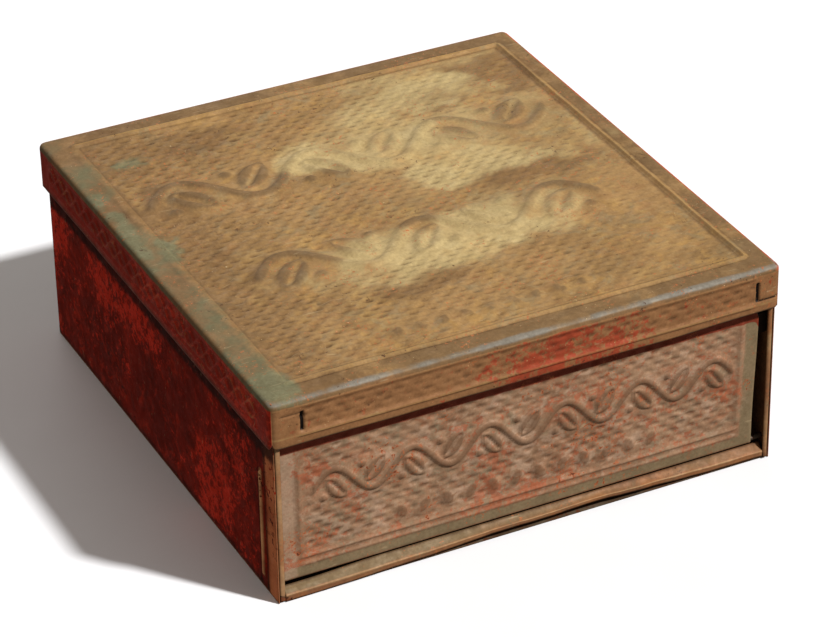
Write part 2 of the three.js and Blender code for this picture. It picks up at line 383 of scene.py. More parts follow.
def old_tin(
    name, base, second, layers, specks, tints=(),
    metallic=0.05, roughness=(0.52, 0.74), specular=0.22,
):
    """Lacquered tinplate that has aged; some of its layers are painted shade and painted highlights.
    Colours run from 0 to 255.

    Layers are (mask, colour, strength, how far its edge breaks up), laid on in order. Tints are
    (colour, size of its clouds in mm, strength) and specks are (colour, size in mm, threshold,
    threshold of the area that has them)."""
    s = Surface(name, metallic, specular)
    broad = s.noise(42, 5, 0.6)
    middle = s.noise(7, 5, 0.7, distortion=0.3)
    fine = s.noise(1.5, 4, 0.65)
    crumbs = s.noise(3.6, 5, 0.75, distortion=0.4)
    colour = s.mix(s.remap(broad, 0.38, 0.62), srgb(*base), srgb(*second))
    for k, (tint, size, strength) in enumerate(tints):
        cloud_shape = s.noise(size, 6, 0.68, stretch=(1 + 0.13 * k, 1, 1), distortion=0.6)
        colour = s.mix(s.remap(cloud_shape, 0.5, 0.66, 0.0, strength), colour, srgb(*tint))
    for mask, tint, strength, breakup in layers:
        flaky = breakup > FINE_BREAKUP
        ragged = crumbs if flaky else middle
        start, end = (0.32, 0.66) if flaky else (0.1, 0.9)
        spread = s.math("MULTIPLY", s.math("SUBTRACT", ragged, 0.5), breakup)
        amount = s.remap(s.math("ADD", s.mask(mask), spread), start, end, 0.0, strength)
        amount = s.math("MULTIPLY", amount, s.remap(s.mask(mask), 0.0, 0.08))
        colour = s.mix(amount, colour, srgb(*tint))
    colour = s.mix(s.remap(middle, 0.35, 0.65, 0.0, 0.4), colour, MOTTLE, "MULTIPLY")
    for tint, size, start, reach in specks:
        spots = s.remap(s.noise(size, 3, 0.7), start, start + 0.06)
        area = s.remap(s.noise(size * 11, 3, 0.6), reach, reach + 0.14)
        colour = s.mix(s.math("MULTIPLY", spots, area), colour, srgb(*tint))
    colour = s.mix(s.remap(fine, 0.35, 0.65, 0.0, 0.3), colour, GRAIN, "MULTIPLY")
    scratch = s.remap(s.noise(0.9, 2, 0.5, stretch=(14, 1.2, 4)), 0.70, 0.75, 0.0, 0.3)
    colour = s.mix(scratch, colour, srgb(186, 166, 130))
    rough = s.remap(middle, 0.3, 0.7, *roughness)
    normal = s.bump(s.noise(0.7, 3, 0.6), 0.05, 0.8)
    normal = s.bump(middle, 0.35, 0.6, below=normal)
    return s.finish(colour, rough, normal)


RUST_SPECKS = [
    ((172, 104, 62), 1.6, 0.58, 0.50),
    ((74, 46, 30), 1.9, 0.61, 0.52),
]
# Dark brown for the lid's pits and grooves: dirt and painted shade.
GRIME_AND_SHADE = (70, 46, 27)
BARE_STEEL = (112, 114, 110)
PITCH_DARK = (20, 12, 9)


LID_PAINT = old_tin(
    "lid_lacquer", (165, 131, 85), (149, 118, 75),
    layers=[
        ("side", (150, 106, 70), 0.9, 0.3),
        ("red", (166, 62, 38), 0.85, 2.6),
        ("deep", (170, 37, 14), 1.0, 1.2),
        ("fleck", (226, 62, 36), 0.85, 2.8),
        ("age", (92, 29, 17), 0.8, 1.4),
        ("border", (122, 96, 64), 0.85, 0.8),
        ("stain", (122, 92, 58), 0.62, 0.9),
        ("pale", (196, 176, 126), 0.8, 1.0),
        ("crest", (208, 172, 108), 0.4, 0.8),
        ("grime", GRIME_AND_SHADE, 0.6, 0.5),
        ("stroke", (108, 86, 60), 0.6, 0.7),
        ("patina", (116, 126, 98), 0.65, 1.6),
        ("rim", (206, 84, 50), 0.8, 0.8),
        ("edge", (134, 134, 128), 0.75, 1.2),
        ("slit", PITCH_DARK, 1.0, 0.0),
    ],
    specks=RUST_SPECKS + [((228, 208, 164), 0.8, 0.66, 0.5)],
    tints=[
        ((180, 142, 82), 16, 0.55),
        ((140, 128, 98), 12, 0.5),
        ((158, 110, 68), 10, 0.3),
    ],
)

FLAP_PAINT = old_tin(
    "flap_lacquer", (168, 134, 106), (148, 114, 88),
    layers=[
        ("border", (134, 118, 90), 0.9, 0.9),
        ("crest", (190, 160, 136), 0.6, 1.2),
        ("rust", (176, 88, 54), 0.6, 3.4),
        ("grime", (84, 56, 38), 0.65, 0.5),
        ("stroke", (118, 86, 62), 0.65, 0.6),
        ("shade", (132, 44, 22), 0.9, 0.2),
        ("edge", BARE_STEEL, 0.5, 1.1),
    ],
    specks=[((186, 104, 62), 2.0, 0.57, 0.50), ((98, 56, 38), 2.0, 0.62, 0.52)],
    tints=[
        ((146, 134, 110), 14, 0.6),
        ((182, 136, 106), 11, 0.5),
        ((160, 98, 66), 6, 0.45),
        ((196, 168, 146), 3, 0.35),
    ],
)

WALL_PAINT = old_tin(
    "wall_paint", (146, 30, 12), (120, 23, 9),
    layers=[
        ("age", (92, 29, 17), 0.85, 1.4),
        ("brown", (232, 140, 92), 1.0, 0.4),
        ("fleck", (244, 60, 36), 0.78, 3.2),
        # Near-black red: painted shadow under the lid's skirt, and darker at the foot and beside the
        # bead.
        ("grime", (44, 8, 3), 0.9, 0.5),
        ("bead", (255, 196, 140), 1.0, 0.4),
        ("edge", (140, 94, 66), 0.8, 0.8),
    ],
    specks=[((160, 42, 24), 3.4, 0.57, 0.50), ((84, 20, 9), 3.2, 0.56, 0.48)],
    tints=[((108, 22, 8), 12, 0.8), ((204, 50, 24), 9, 0.6)],
    metallic=0.0, roughness=(0.6, 0.8), specular=0.06,
)

STRIP_METAL = old_tin(
    "strip_lacquer", (158, 112, 76), (140, 94, 64),
    layers=[
        ("border", (124, 106, 76), 0.9, 0.4),
        ("crest", (190, 158, 116), 0.5, 0.8),
        ("grime", (74, 46, 32), 0.8, 0.5),
        ("wrap", (120, 66, 40), 0.9, 0.2),
        ("slit", PITCH_DARK, 1.0, 0.0),
    ],
    specks=RUST_SPECKS,
    tints=[((166, 108, 64), 10, 0.6), ((128, 106, 80), 9, 0.6)],
)

INNER_TIN = old_tin(
    "inner_tinplate", (118, 100, 82), (92, 70, 52),
    layers=[("grime", (52, 32, 22), 0.6, 0.6), ("slit", PITCH_DARK, 1.0, 0.0)],
    specks=[((118, 64, 38), 3.0, 0.54, 0.42), ((52, 34, 26), 2.2, 0.58, 0.5)],
    tints=[((110, 70, 46), 18, 0.8), ((126, 116, 100), 12, 0.5)],
    metallic=0.35, roughness=(0.36, 0.6),
)

HINGE_STEEL = old_tin(
    "hinge_steel", (108, 98, 88), (90, 76, 64),
    layers=[],
    specks=[((120, 66, 40), 1.6, 0.54, 0.42)],
    tints=[((96, 66, 46), 6, 0.8)],
    metallic=0.6, roughness=(0.34, 0.56),
)

# Near-black tin for the flap's stops: a dark sheet standing for the shade in the gap beside the flap.
SHADE_BLACK_TIN = old_tin(
    "shade_black_tinplate", (44, 30, 22), (34, 24, 18),
    layers=[],
    specks=[],
    tints=[((66, 40, 26), 6, 0.8)],
    metallic=0.1, specular=0.15,
)


# ---------------- lid

# The faces that carry relief start a little inside the CAD lid's, which leaves room for it.
lid_low, lid_high = box_mm("lid_sheet")
LID_HALF_X = lid_high[0] - 0.3
LID_HALF_Y = lid_high[1] - 0.3
LID_TOP = lid_high[2] - 0.6
LID_CORNER = 3.5
ROLL = 2.2
ROLL_STEPS = 4

# Weave and grid steps: about five grid lines to a cell each way.
WEAVE_PITCH = 9.0
LID_WEAVE_ROW = 3.6
SKIRT_WEAVE_ROW = 3.4
LID_STEP_X = WEAVE_PITCH / 5.5
LID_STEP_Y = LID_WEAVE_ROW / 5
WEAVE_DEPTH = 0.95

# The beaded frame on the lid, and inside it two vines, each (middle y, bends, which way it
# waves), and a row of seeds.
LID_FRAME_CENTRE = (1.0, 0.3)
LID_FRAME_HALF = (110.0, 115.3)
VINE_HEIGHT = 35.0
VINES = ((47.0, 6, 1), (-32.0, 5, -1))
SEED_SIZE = 8
SEED_PITCH = 11.0
LID_SEEDS_Y = -100.0
LID_SEED_COUNT = 10

# Worn places on the lid: (middle x, middle y, half width, half depth).
PALE_PATCHES = ((48, 88, 38, 20), (18, 52, 42, 22), (58, 16, 46, 14), (18, -42, 56, 22))
DARK_PATCHES = ((79, 86, 31, 24), (68, 0, 32, 12), (-20, -66, 22, 8), (-60, 92, 34, 10))
GREEN_PATCHES = ((-89, 89, 8, 6), (-106, 10, 5, 9), (-112, -116, 9, 12), (-118, 34, 4, 30))

# The skirt's beads and chain, and the tab slots near both ends of the front skirt.
UPPER_BEAD = 96.4
LOWER_BEAD = 82.3
CHAIN_SWING = 3.6
CHAIN_PITCH = 21
SLOT_Z = (84.2, 93.0)
SLOT_X = (-107.0, 110.0)
SLOT_HALF = 0.65

HINGE_CENTRES = [sum(v[0] for v in box_mm(f"{side}_hinge_pin")) / 2 for side in ("left", "right")]
HINGE_WIDTH = float(np.ptp([v[0] for v in box_mm("left_hinge_body_leaf")]))


def patches(x, y, places, seed, soft, ragged=26):
    """A mask of worn places with ragged edges."""
    total = np.zeros_like(x)
    wander = cloud(x, y, ragged, seed, 5)
    for cx, cy, rx, ry in places:
        away = np.hypot((x - cx) / rx, (y - cy) / ry) + wander
        total = np.maximum(total, smoothstep(1 + soft, 1 - soft, away))
    return total


def lid_relief(x, y):
    """Height of the lid's embossing, and the masks that follow it."""
    inside = -frame_distance(x, y, LID_FRAME_CENTRE, LID_FRAME_HALF, 1.4)
    dist = np.full_like(x, 1e3)
    for row_y, bends, turn in VINES:
        dist = np.minimum(dist, vine(x * turn, y - row_y, VINE_HEIGHT, bends))
    small = seeds(x, y - LID_SEEDS_Y, SEED_SIZE, SEED_PITCH, LID_SEED_COUNT)
    stroke = smoothstep(1.2, -1.6, dist)
    small_stroke = smoothstep(0.6, -0.8, small)
    halo = smoothstep(2.2, 4.4, dist) * smoothstep(1.0, 3.0, small)
    field = smoothstep(2.8, 4.8, inside)
    warped_x = x + 2.2 * cloud(x, y, 34, 5, 3)
    warped_y = y + 1.1 * cloud(x, y, 24, 6, 3)
    pressed, pits = weave(warped_x, warped_y, WEAVE_PITCH, LID_WEAVE_ROW)
    woven = halo * field * (1 - 0.4 * smoothstep(0.1, 0.5, cloud(x, y, 50, 9, 3)))
    woven = woven * (1 - 0.35 * smoothstep(20, 100, x))
    height = 0.25 - WEAVE_DEPTH * pressed * woven
    height = height + 1.25 * stroke + 0.6 * small_stroke
    height = height + 1.0 * ridge(inside, 1.5) - 0.5 * ridge(inside - 2.6, 1.3)
    height = height + 0.55 * cloud(x, y, 90, 3, 2) + 0.4 * cloud(x, y, 18, 4, 3)
    pale = patches(x, y, PALE_PATCHES, 21, 0.44)
    dark = patches(x, y, DARK_PATCHES, 25, 0.45)
    faded = 0.5 * smoothstep(-40, 40, x + 30 * cloud(x, y, 60, 22)) * smoothstep(-50, 10, y)
    faded = faded * smoothstep(0, 5, inside) * (1 - 0.8 * dark)
    pale = np.maximum(pale, faded)
    outside = smoothstep(0.0, -3.0, inside)
    masks = {
        # Darker in the weave's pits, beside the frame bead and round the strokes: dirt and painted
        # shade; random dirt on the border.
        "grime": pits * woven * 0.64 + 0.6 * ridge(inside - 2.3, 1.2) + 0.7 * ridge(inside + 1.9, 1.1)
        + 0.35 * ridge(dist - 0.9, 0.9) + 0.4 * outside * cloud(x, y, 16, 37),
        # Lighter on the weave's tops and along the frame bead: worn paint and painted highlight.
        "crest": np.maximum(
            0.6 * (1 - pits) * field * smoothstep(-0.2, 0.6, cloud(x, y, 13, 33)) * (1 - stroke),
            0.65 * ridge(inside, 0.9),
        ),
        "stroke": np.maximum(stroke, small_stroke * 0.7) * (1 - 0.7 * pale),
        "border": outside * (0.85 + 0.7 * cloud(x, y, 24, 31)),
        "pale": pale * (0.85 + 0.8 * cloud(x, y, 16, 35)),
        "stain": np.maximum(dark, 0.8 * smoothstep(-35, -112, x)),
        "patina": patches(x, y, GREEN_PATCHES, 27, 0.6, 9) * (0.7 + 0.9 * cloud(x, y, 5, 39))
        + smoothstep(-103, -112, x) * (0.42 + 0.9 * cloud(x, y, 22, 38)),
    }
    return height, masks


def skirt_relief(side, u, z, reach):
    """Height and masks on the lid's skirt. side is 0 front, 1 right, 2 back, 3 left."""
    top, bottom = UPPER_BEAD, LOWER_BEAD
    ends = smoothstep(reach, reach - 3, np.abs(u))
    beads = (ridge(z - top, 1.1) + ridge(z - bottom, 1.1)) * ends
    band = smoothstep(bottom + 1.2, bottom + 2.4, z) * smoothstep(top - 1.2, top - 2.4, z)
    pressed, pits = weave(u, -z + 0.8, WEAVE_PITCH, SKIRT_WEAVE_ROW)
    middle = (top + bottom) / 2
    swing = CHAIN_SWING * np.sin(2 * np.pi * u / CHAIN_PITCH)
    chain = np.maximum(ridge(z - middle - swing, 1.5), ridge(z - middle + swing, 1.5))
    front = side == 0
    woven = band * ends
    height = np.where(front, -0.5 * pressed * woven, 1.0 * chain * woven) + 0.8 * beads
    masks = {
        "side": np.ones_like(u),
        "red": np.where(front, 0.12 + 0.5 * smoothstep(-35, 0, u) * smoothstep(70, 40, u), 0.0)
        * (0.9 + 1.2 * cloud(u, z, 12, 41)),
        "deep": np.where(front, 0.0, 0.95 + 0.4 * cloud(u, z, 18, 42)),
        # Darker in the pits, round the chain and towards the skirt's lower edge: dirt and painted shade.
        "grime": np.where(front, pits * 0.7, 0.5 * (1 - chain)) * woven
        + np.where(front, 0.35, 0.8) * smoothstep(bottom - 1.5, 78.5, z),
        "fleck": np.where(front, 0.0, 0.15 + 0.9 * cloud(u, z, 30, 44)),
        # The right and rear skirts, which the lamps light, are painted darker than the shaded left one.
        "age": np.where((side == 1) | (side == 2), 0.85 + 0.8 * cloud(u, z, 45, 46), 0.0),
        # A pale line along the front's lower bead: a painted highlight.
        "pale": np.where(front, 0.4 * ridge(z - bottom, 1.2) * (0.4 + cloud(u, z, 25, 43)), 0.0),
        # Lighter along the beads and on the chain: worn paint and painted highlight.
        "crest": np.where(
            front, 0.5 * ridge(z - bottom, 1.1) + 0.4 * ridge(z - top, 1.1),
            (chain * woven + 0.5 * beads) * (0.35 + 0.8 * cloud(u, z, 20, 45)),
        ),
    }
    # The tab slots are pressed in a little and painted near-black: painted shade standing for the dark
    # inside of the openings.
    slit = np.zeros_like(u)
    low, high = SLOT_Z
    tall = smoothstep(low - 0.5, low + 0.3, z) * smoothstep(high + 0.5, high - 0.3, z)
    for sign, x, fold_z, fold in ((-1, SLOT_X[0], high, 0.4), (1, SLOT_X[1], low, 0.6)):
        away = np.abs(u - x)
        slit = np.maximum(slit, smoothstep(SLOT_HALF + 0.35, SLOT_HALF - 0.15, away) * tall)
        beyond = smoothstep(-0.3, 0.3, sign * (u - x)) * smoothstep(11.5, 10.5, away)
        slit = np.maximum(slit, fold * ridge(z - fold_z, 0.8) * beyond)
    slit = np.where(front, slit, 0.0)
    masks["slit"] = smoothstep(0.1, 0.6, slit)
    return height - 1.1 * slit, masks


def round_plan(x, y, half_x, half_y, radius):
    """Bends a rectangular grid's outer rings round the plan's corners.

    Returns the places, the outward directions and how far inside the edge each point is."""
    a, b = half_x - np.abs(x), half_y - np.abs(y)
    depth = np.minimum(a, b)
    ring = np.maximum(radius - depth, 1e-9)
    turn = np.clip(1 - (np.maximum(a, b) - depth) / ring, 0, 1) * math.pi / 4
    angle = np.where(a <= b, turn, math.pi / 2 - turn)
    bent = turn > 0
    out_x, out_y = np.cos(angle), np.sin(angle)
    place_x = np.where(bent, half_x - radius + ring * out_x, np.abs(x))
    place_y = np.where(bent, half_y - radius + ring * out_y, np.abs(y))
    sx, sy = np.where(x < 0, -1, 1), np.where(y < 0, -1, 1)
    return place_x * sx, place_y * sy, out_x * sx, out_y * sy, depth


def lid_lines(half, step, extra=()):
    """Grid lines across the lid: close together in the rolled edge, even on the flat."""
    roll = [half - ROLL * (1 - math.sin(a)) for a in np.linspace(math.pi / 2, 0, ROLL_STEPS + 1)]
    roll.append(half - LID_CORNER)
    flat = even_lines(-half + LID_CORNER + step, half - LID_CORNER - step, step)
    flat = [v for v in flat if all(abs(v - e) > 0.4 for e in extra)]
    return np.array(sorted([-v for v in roll] + flat + list(extra) + roll))


def make_lid():
    """The lid's top with its rolled edge, and the skirt on all four sides."""
    slots = [x + d for x in SLOT_X for d in (-1.05, -0.55, 0.55, 1.05)]
    half_x, half_y = LID_HALF_X, LID_HALF_Y
    xs, ys = lid_lines(half_x, LID_STEP_X, slots), lid_lines(half_y, LID_STEP_Y)
    grid_x, grid_y = np.meshgrid(xs, ys)
    px, py, nx, ny, depth = round_plan(grid_x, grid_y, half_x, half_y, LID_CORNER)
    sideways = np.clip((ROLL - depth) / ROLL, 0, 1)
    upright = np.sqrt(1 - sideways ** 2)
    height, masks = lid_relief(px, py)
    height = height * smoothstep(ROLL, ROLL + 4, depth)
    normals = np.stack([nx * sideways, ny * sideways, upright], -1)
    base = np.stack([px, py, LID_TOP - ROLL * (1 - upright)], -1)
    # Along the front the bare-steel band on the rolled edge is widened and strengthened: worn paint and
    # a painted highlight on the roll.
    near_front = smoothstep(-half_y + 12, -half_y, py)
    rim = smoothstep(ROLL + 0.6 + 1.9 * near_front, ROLL * 0.4, depth)
    rim = rim * smoothstep(-0.02, ROLL * 0.2, depth)
    worn = 0.15 + near_front * (0.7 + 1.1 * cloud(px, py, 16, 51, 3))
    masks["edge"] = rim * worn
    far_side = np.maximum(
        smoothstep(half_y - 4, half_y - 1, py), smoothstep(half_x - 4, half_x - 1, px),
    )
    rolled = smoothstep(ROLL * 0.85, ROLL * 0.55, depth)
    masks["rim"] = rolled * far_side * (0.9 + 0.8 * cloud(px, py, 12, 53))
    masks["side"] = smoothstep(ROLL * 0.3, 0, depth)
    rows, cols = thinned(len(ys), INNER_STRIDE, 6), thinned(len(xs), INNER_STRIDE, 6)
    sheet = Sheet("lid_shell")
    sheet.patch(base, normals, height, masks, rows, cols)

    # The skirt hangs from the grid's border, once round.
    def ring(values):
        closed = border(values)
        return np.append(closed, closed[0])

    rx, ry, rnx, rny = ring(px), ring(py), ring(nx), ring(ny)
    side = np.where(np.abs(rny) > np.abs(rnx), np.where(rny < 0, 0, 2), np.where(rnx > 0, 1, 3))
    u = np.where(side % 2 == 0, rx, ry)
    reach = np.where(side % 2 == 0, half_x, half_y) - LID_CORNER - 8
    corner = np.minimum(np.abs(rnx), np.abs(rny)) / math.sqrt(0.5)
    wavy = 0.45 * cloud(u, side * 50.0, 45, 61, 3) + 0.25
    lift = 0.9 * smoothstep(60, 118, u) * (side == 0)
    bottom = lid_low[2] + np.maximum(wavy + lift, 0) + 2.6 * corner ** 6
    start = LID_TOP - ROLL
    share = np.linspace(0, 1, 28)[:, None]
    z = start + (bottom - start) * share
    line = (u, side, reach, rx, ry, rnx, rny)
    u, side, reach, rx, ry, rnx, rny = (np.broadcast_to(v, z.shape) for v in line)
    height, masks = skirt_relief(side, u, z, reach)
    for centre in HINGE_CENTRES:
        clear = (side == 2) & (np.abs(u - centre) < HINGE_WIDTH / 2 + 2)
        height = np.where(clear, 0.0, height)
    height = height * smoothstep(0, 0.08, share)
    bulge = 0.35 * cloud(u * 0.5, z + side * 90, 40, 63, 2) * smoothstep(0, 0.5, share)
    height = height + np.where(side == 2, 0.0, bulge)
    masks["edge"] = smoothstep(0.06, 0.0, share) * 0.5 + 0.4 * smoothstep(0.97, 1.0, share)
    normals = np.stack([rnx, rny, np.zeros_like(z)], -1)
    base = np.stack([rx, ry, z], -1)
    ring_cols = ring_picks(len(ys), len(xs), rows, cols)
    levels = thinned(len(share), INNER_STRIDE, 1)
    outer, inner, match = sheet.patch(base, normals, height, masks, levels, ring_cols, flip=True)
    sheet.edge(outer[-1][:-1], inner[-1][:-1], match[-1][:-1])
    place(sheet.build([LID_PAINT, INNER_TIN, LID_PAINT]), "lid", "lid_brass", "lid_sheet")


def ring_picks(count_rows, count_cols, rows, cols):
    """Where a thinned grid's border falls along the full grid's border, with the closing point."""
    ids = np.arange(count_rows * count_cols).reshape(count_rows, count_cols)
    full = {int(v): k for k, v in enumerate(border(ids))}
    picks = [full[int(v)] for v in border(ids[np.ix_(rows, cols)])]
    return picks + [len(full)]


# ---------------- flap

flap_low, flap_high = box_mm("front_flap")
wire_low, wire_high = box_mm("flap_hinge_wire")
FLAP_FACE_Y = flap_low[1]
WIRE_Y = (wire_low[1] + wire_high[1]) / 2
WIRE_Z = (wire_low[2] + wire_high[2]) / 2
CURL = WIRE_Y - FLAP_FACE_Y
CURL_SWEEP = math.pi * 1.35
CURL_STEPS = 17
FLAP_WEAVE_ROW = 3.1
FLAP_VINE_Z = 50.4
FLAP_VINE_HEIGHT = 19.5
FLAP_VINE_BENDS = 11
FLAP_SEEDS_Z = 26.7
FLAP_SEED_COUNT = 12


def flap_relief(x, z):
    """Height of the flap's embossing, and the masks that follow it."""
    left, right = flap_low[0] + 8.6, flap_high[0] - 8.3
    bottom = 16.5
    bottom_edge = smoothstep(19, 22, z)
    upper = smoothstep(61, 63, z)
    field_height = bottom_edge * smoothstep(64, 61, z)
    left_bead = ridge(x - left, 1.7) * field_height
    right_bead = ridge(x - right, 1.9) * bottom_edge * smoothstep(74, 70, z)
    along = smoothstep(left - 2, left + 2, x) * smoothstep(right + 2, right - 2, x)
    bottom_bead = (ridge(z - bottom - 1.5, 1.3) + 0.7 * ridge(z - bottom + 2.3, 1.1)) * along
    dist = vine(x, z - FLAP_VINE_Z, FLAP_VINE_HEIGHT, FLAP_VINE_BENDS)
    small = seeds(x, z - FLAP_SEEDS_Z, SEED_SIZE, SEED_PITCH, FLAP_SEED_COUNT)
    stroke = smoothstep(0.5, -0.8, dist)
    small_stroke = smoothstep(0.5, -0.7, small)
    halo = smoothstep(1.2, 3.0, dist) * smoothstep(0.8, 2.4, small)
    field = smoothstep(left + 2, left + 4, x) * smoothstep(right - 2, right - 4, x)
    field = field * smoothstep(19.5, 21.5, z)
    warped_x, warped_z = x + 1.6 * cloud(x, z, 25, 71, 3), -z + 0.8 * cloud(x, z, 22, 72, 3)
    pressed, pits = weave(warped_x, warped_z, WEAVE_PITCH, FLAP_WEAVE_ROW)
    woven = field * halo
    height = -0.6 * pressed * woven + 0.95 * stroke + 0.5 * small_stroke
    height = height + 0.7 * np.maximum(np.maximum(left_bead, right_bead), bottom_bead)
    height = height + 0.45 * cloud(x, z, 60, 73, 2) + 0.3 * cloud(x, z, 14, 74, 2) * field
    left_edge = 0.15 * smoothstep(left - 1, left - 4, x)
    edge_band = np.maximum(left_edge, smoothstep(right + 1, right + 3, x))
    edge_band = np.maximum(edge_band, smoothstep(14, 12.5, z))
    rusty = 0.1 + 0.5 * smoothstep(-0.2, 0.5, cloud(x, z, 20, 77))
    masks = {
        # Darker in the pits, round the vine and beside the left bead: dirt and painted shade.
        "grime": pits * woven * 0.55 + 0.45 * ridge(dist - 0.4, 0.9)
        + 0.5 * ridge(x - left + 2.2, 1.2) * field_height,
        # Lighter on the weave's tops: worn paint and painted highlight; lighter on the left border.
        "crest": np.maximum(
            (1 - pits) * field * smoothstep(0.0, 0.4, cloud(x, z, 7, 75)),
            smoothstep(left, left - 3, x) * (0.75 + 0.7 * cloud(x, z, 10, 78)),
        ),
        "stroke": np.maximum(stroke, small_stroke * 0.8),
        "border": edge_band * (0.9 + 0.5 * cloud(x, z, 30, 76)),
        "rust": rusty * (1 - 0.5 * stroke) * (1 - 0.5 * upper) * (1 - 0.8 * edge_band),
        "shade": smoothstep(70.6, 71.6, z + 0.8 * cloud(x, z, 30, 79)),
        "edge": smoothstep(flap_high[2] - 1.2, flap_high[2] - 0.3, z),
    }
    return height, masks


def make_flap():
    """The front panel and the curl along its lower edge."""
    xs = even_lines(flap_low[0], flap_high[0], 1.0)
    face_z = even_lines(WIRE_Z, flap_high[2], FLAP_WEAVE_ROW / 5)
    curl = np.linspace(CURL_SWEEP, 0, CURL_STEPS)[:-1]
    profile_y = np.concatenate([WIRE_Y - CURL * np.cos(curl), np.full(len(face_z), FLAP_FACE_Y)])
    profile_z = np.concatenate([WIRE_Z - CURL * np.sin(curl), face_z])
    normal_y = np.concatenate([-np.cos(curl), np.full(len(face_z), -1.0)])
    normal_z = np.concatenate([-np.sin(curl), np.zeros(len(face_z))])
    x = np.meshgrid(xs, profile_y)[0]
    profile = (profile_y, profile_z, normal_y, normal_z)
    y, z, ny, nz = (np.meshgrid(xs, line)[1] for line in profile)
    height, masks = flap_relief(x, z)
    flat = ny < -0.999
    height = height * (smoothstep(WIRE_Z + 0.5, WIRE_Z + 4, z) * flat)
    masks = {key: mask * np.where(flat, 1, 0.3) for key, mask in masks.items()}
    round_corner = 4.0
    over = np.maximum(x - flap_high[0] + round_corner, 0)
    drop = round_corner - np.sqrt(np.maximum(round_corner ** 2 - over ** 2, 0))
    z = z - drop * smoothstep(50, flap_high[2], z)
    x = x - 1.7 * smoothstep(60, flap_high[0], x) * smoothstep(76, 12, z)
    normals = np.stack([np.zeros_like(x), ny, nz], -1)
    base = np.stack([x, y, z], -1)
    sheet = Sheet("flap_panel")
    rows = thinned(x.shape[0], INNER_STRIDE, CURL_STEPS)
    cols = thinned(x.shape[1], INNER_STRIDE, 1)
    sheet.panel(base, normals, height, masks, rows, cols)
    place(sheet.build([FLAP_PAINT, INNER_TIN, FLAP_PAINT]), "flap", "flap_taupe", "front_flap")


# ---------------- walls

wall_low, wall_high = box_mm("body_wrap")
WALL_CORNER = 6.0
WALL_STEP = 3.4


def wall_path():
    """Points and outward directions round the left, rear and right walls, seen from above."""
    half, back, front = wall_high[0], wall_high[1], wall_low[1]
    side = two_steps(front, front + 24, back - WALL_CORNER, 1.0, WALL_STEP)
    right = [(half, y, 1.0, 0.0) for y in side]
    arc = np.linspace(0, math.pi / 2, 9)[1:-1]
    centre_x, centre_y = half - WALL_CORNER, back - WALL_CORNER
    spokes = [(math.cos(a), math.sin(a)) for a in arc]
    corner = [(centre_x + WALL_CORNER * c, centre_y + WALL_CORNER * s, c, s) for c, s in spokes]
    rear = [(x, back, 0.0, 1.0) for x in even_lines(centre_x, 0, WALL_STEP)]
    half_path = np.array(right + corner + rear)
    mirrored = half_path[-2::-1] * np.array([-1, 1, -1, 1])
    return np.concatenate([half_path, mirrored])


def wall_relief(x, y, z, nx):
    """Height of the walls' pressings, and the masks that follow them."""
    side = np.abs(nx) > 0.99
    along = y - wall_low[1]
    bead = ridge(along - 13.5, 2.4) * smoothstep(5, 8, z) * smoothstep(62, 59, z) * side
    height = 1.1 * bead
    away = smoothstep(24, 60, along)
    u = np.where(side, y, x + 400)
    dent = 0.35 * cloud(u, z, 70, 81, 2) * smoothstep(2, 20, z) * smoothstep(99, 80, z) * away
    height = height + np.where(side, dent, 0.4 * dent)
    fleck = 0.6 * smoothstep(-0.3, 0.5, cloud(u, z, 30, 83, 3))
    # The left wall, which the key lamp leaves in shade, gets a brighter front strip, bead and flecks,
    # and the right and rear walls get darker paint: lit and shaded copies of one paint.
    shaded = smoothstep(-0.3, -0.7, nx)
    front_edge = smoothstep(14, 5, along) * side
    # A painted shadow under the lid's skirt along the top of the walls, and darker along the foot.
    shadow_under_skirt = smoothstep(66.5, 72.5, z) * (0.4 + 0.6 * smoothstep(88, 79, z))
    at_foot = 0.7 * smoothstep(6, 0.5, z) * smoothstep(2, 20, along)
    masks = {
        "brown": (0.4 + 0.55 * shaded) * front_edge * (0.85 + 0.5 * cloud(u, z, 14, 84)),
        "bead": (0.45 + 0.55 * shaded) * bead * (0.75 + 0.9 * cloud(u, z, 9, 85)),
        "fleck": (fleck * (0.4 + 0.6 * shaded) + 0.02) * smoothstep(14, 30, along),
        "age": (1 - shaded) * (0.85 + 0.8 * cloud(u, z, 45, 86)),
        "grime": np.maximum(shadow_under_skirt, at_foot)
        + 0.7 * ridge(along - 10, 2.2) * side + 0.5 * ridge(along - 17, 2.2) * side,
        "edge": np.maximum(smoothstep(0.9, 0.2, z), smoothstep(1.2, 0.2, along) * side),
    }
    return height, masks


def make_walls():
    """The left, rear and right wall, bent from one sheet."""
    path = wall_path()
    levels = even_lines(wall_low[2], wall_high[2], 1.25)
    shape = (len(levels), len(path))
    x, y, nx, ny = (np.broadcast_to(path[:, k], shape) for k in range(4))
    z = np.broadcast_to(levels[:, None], shape)
    height, masks = wall_relief(x, y, z, nx)
    normals = np.stack([nx, ny, np.zeros_like(z)], -1)
    base = np.stack([x, y, z], -1)
    sheet = Sheet("wall_wrap")
    rows, cols = thinned(shape[0], INNER_STRIDE, 1), thinned(shape[1], 2, 26)
    sheet.panel(base, normals, height, masks, rows, cols)
    place(sheet.build([WALL_PAINT, INNER_TIN, WALL_PAINT]), "body", "side_red", "body_wrap")


# ---------------- folded strips

